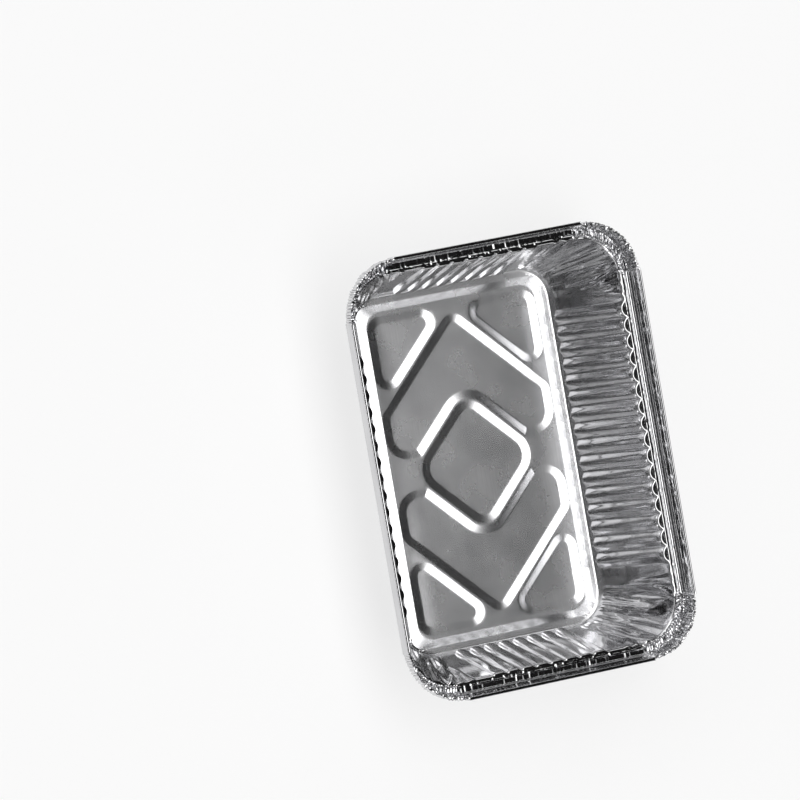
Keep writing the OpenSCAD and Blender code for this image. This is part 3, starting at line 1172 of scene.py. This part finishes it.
def foil_group():
    """Rolled foil: grain, drawing streaks and soft stains over the sheet, with a painted shade that darkens
    the drawn walls and rim.

    The sheet runs fine across and long up the draw, so the streaks follow it.
    """
    tree = bpy.data.node_groups.new("rolled_foil", "ShaderNodeTree")
    given, result = foil_sockets(tree)
    squeezed = node(tree, "Mapping", Vector=given["Sheet"], Scale=STREAK_SQUEEZE).outputs[0]
    streaks = node(tree, "TexNoise", Vector=squeezed, Scale=STREAK_SCALE, Detail=3.0, Roughness=0.65)
    grain = node(tree, "TexNoise", Vector=given["Place"], Scale=GRAIN_SCALE, Detail=2.0, Roughness=0.6)
    stains = node(tree, "TexNoise", Vector=given["Place"], Scale=STAIN_SCALE, Detail=4.0, Roughness=0.6)

    tone = node(tree, "ValToRGB", Fac=stains.outputs["Fac"])
    for element, position, colour in zip(
            tone.color_ramp.elements, (NOISE_LOW, NOISE_HIGH), (STAIN_DARK, STAIN_LIGHT)):
        element.position = position
        element.color = colour
    lines = node(tree, "MapRange", Value=streaks.outputs["Fac"],
                 From_Min=NOISE_LOW, From_Max=NOISE_HIGH, To_Min=STREAK_DARK, To_Max=1.0)
    streaked = tinted(tree, tone.outputs[0], lines.outputs[0])
    # Painted shade: the drawn walls and rim get a darker tone than the satin base.
    shade = by_satin(tree, given["Satin"], DRAWN_PAINTED_SHADE, 1.0)
    tree.links.new(tinted(tree, streaked, shade), result["Tone"])

    rough = by_satin(tree, given["Satin"], BRIGHT_ROUGHNESS, SATIN_ROUGHNESS)
    spread = node(tree, "MapRange", Value=stains.outputs["Fac"], To_Min=ROUGHNESS_LOW, To_Max=ROUGHNESS_HIGH)
    tree.links.new(math_node(tree, "MULTIPLY", rough, spread.outputs[0]), result["Roughness"])

    fine = math_node(tree, "MULTIPLY", grain.outputs["Fac"], GRAIN_SHARE)
    relief = math_node(tree, "ADD", streaks.outputs["Fac"], fine)
    strength = by_satin(tree, given["Satin"], 1.0, SATIN_RELIEF)
    tree.links.new(math_node(tree, "MULTIPLY", relief, strength), result["Relief"])
    return tree


def foil_material():
    """Bright aluminium foil, satin where the base was only lightly drawn."""
    made = bpy.data.materials.new("bright_foil")
    made.use_nodes = True
    tree = made.node_tree
    shader = tree.nodes["Principled BSDF"]
    shader.inputs["Metallic"].default_value = 1
    place = node(tree, "TexCoord").outputs["Object"]
    sheet = node(tree, "UVMap", uv_map="sheet").outputs[0]
    height = node(tree, "SeparateXYZ", Vector=place).outputs["Z"]
    satin = node(tree, "MapRange", Value=height, interpolation_type="SMOOTHSTEP",
                 From_Min=SATIN_TOP, From_Max=DRAWN_FROM, To_Min=1.0, To_Max=0.0)
    foil = tree.nodes.new("ShaderNodeGroup")
    foil.node_tree = foil_group()
    tree.links.new(place, foil.inputs["Place"])
    tree.links.new(sheet, foil.inputs["Sheet"])
    tree.links.new(satin.outputs[0], foil.inputs["Satin"])
    tree.links.new(foil.outputs["Tone"], shader.inputs["Base Color"])
    tree.links.new(foil.outputs["Roughness"], shader.inputs["Roughness"])
    bump = node(tree, "Bump", Strength=RELIEF_STRENGTH, Distance=RELIEF_H, Height=foil.outputs["Relief"])
    tree.links.new(bump.outputs[0], shader.inputs["Normal"])
    return made


def floor_material():
    """Pale floor that keeps its shadow but looks nearly white to the camera and in the foil."""
    made = bpy.data.materials.new("pale_floor")
    made.use_nodes = True
    tree = made.node_tree
    shader = tree.nodes["Principled BSDF"]
    shader.inputs["Base Color"].default_value = FLOOR_COLOUR
    shader.inputs["Roughness"].default_value = FLOOR_ROUGHNESS
    path = tree.nodes.new("ShaderNodeLightPath").outputs
    seen = math_node(tree, "MAXIMUM", path["Is Camera Ray"], path["Is Glossy Ray"])
    seen = math_node(tree, "MAXIMUM", seen, path["Is Transmission Ray"])
    white = node(tree, "Emission", Strength=1.0)
    blend = tree.nodes.new("ShaderNodeMixShader")
    tree.links.new(math_node(tree, "MULTIPLY", seen, FLOOR_WHITE), blend.inputs[0])
    tree.links.new(shader.outputs[0], blend.inputs[1])
    tree.links.new(white.outputs[0], blend.inputs[2])
    tree.links.new(blend.outputs[0], tree.nodes["Material Output"].inputs["Surface"])
    return made


# Stage, light and camera

def make_floor():
    """Wide pale floor just under the tray."""
    mesh = bpy.data.meshes.new("floor")
    corners = [(x * FLOOR_HALF, y * FLOOR_HALF, 0) for x, y in ((-1, -1), (1, -1), (1, 1), (-1, 1))]
    mesh.from_pydata(corners, [], [(0, 1, 2, 3)])
    floor = bpy.data.objects.new("floor", mesh)
    floor.location.z = -FLOOR_DROP
    bpy.context.collection.objects.link(floor)
    mesh.materials.append(floor_material())


def soft_light(tree, across, along, across_stops, along_stops):
    """Level of one soft light in the plane above the tray."""
    return math_node(
        tree, "MULTIPLY", level_ramp(tree, across, across_stops), level_ramp(tree, along, along_stops))


def make_world():
    """A studio dome: soft lights overhead, beside the camera and beyond the ends, dim elsewhere.

    Directions are met in the plane one unit above the tray, where the lights
    have straight soft edges.
    """
    world = bpy.data.worlds.new("studio_dome")
    bpy.context.scene.world = world
    world.use_nodes = True
    tree = world.node_tree
    place = node(tree, "TexCoord")
    split = node(tree, "SeparateXYZ", Vector=place.outputs["Generated"]).outputs
    height = math_node(tree, "MAXIMUM", split["Z"], LOWEST_RISE)
    across = math_node(tree, "DIVIDE", split["X"], height)
    along = math_node(tree, "DIVIDE", split["Y"], height)
    top = soft_light(tree, across, along, TOP_ACROSS, TOP_ALONG)
    beside = soft_light(tree, across, along, BESIDE_ACROSS, BESIDE_ALONG)
    ends = soft_light(tree, across, along, END_ACROSS, END_ALONG)
    light = math_node(tree, "MAXIMUM", math_node(tree, "MAXIMUM", top, beside), ends)
    light = math_node(tree, "MULTIPLY", light, level_ramp(tree, split["Z"], ABOVE))
    light = math_node(tree, "MULTIPLY", light, SOFT_LEVEL)
    dim = math_node(
        tree, "MULTIPLY", level_ramp(tree, split["Z"], HORIZON), level_ramp(tree, split["X"], SIDES))
    background = tree.nodes["Background"]
    tree.links.new(math_node(tree, "ADD", light, dim), background.inputs["Color"])
    background.inputs["Strength"].default_value = 1.0


def camera_axes():
    """Right, up and back directions of the camera."""
    left = math.radians(CAMERA_LEFT)
    far = math.radians(CAMERA_FAR)
    back = Vector((-math.sin(left) * math.cos(far), math.sin(far), math.cos(left) * math.cos(far)))
    up = (Vector((0, 1, 0)) - back * back.y).normalized()
    right = up.cross(back)
    roll = math.radians(CAMERA_ROLL)
    return (right * math.cos(roll) + up * math.sin(roll),
            up * math.cos(roll) - right * math.sin(roll), back)


def make_camera():
    """A long lens that sees the middle of the base where the photograph shows it."""
    right, up, back = camera_axes()
    across = (IMAGE_SIZE / 2 - BASE_PIXEL[0]) / PIXELS_PER_MM * MM
    down = (IMAGE_SIZE / 2 - BASE_PIXEL[1]) / PIXELS_PER_MM * MM
    aim = right * across - up * down
    data = bpy.data.cameras.new("camera")
    data.sensor_width = SENSOR_MM
    data.lens = SENSOR_MM * CAMERA_DISTANCE / (IMAGE_SIZE / PIXELS_PER_MM * MM)
    data.clip_end = CAMERA_REACH
    camera = bpy.data.objects.new("camera", data)
    turn = Matrix((right, up, back)).transposed().to_4x4()
    camera.matrix_world = Matrix.Translation(aim + back * CAMERA_DISTANCE) @ turn
    bpy.context.collection.objects.link(camera)
    bpy.context.scene.camera = camera


make_camera()
make_floor()
make_world()
tray = make_tray()
tray.data.materials.append(foil_material())
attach(tray, "root")
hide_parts("container")
bpy.context.scene.view_settings.view_transform = "Standard"
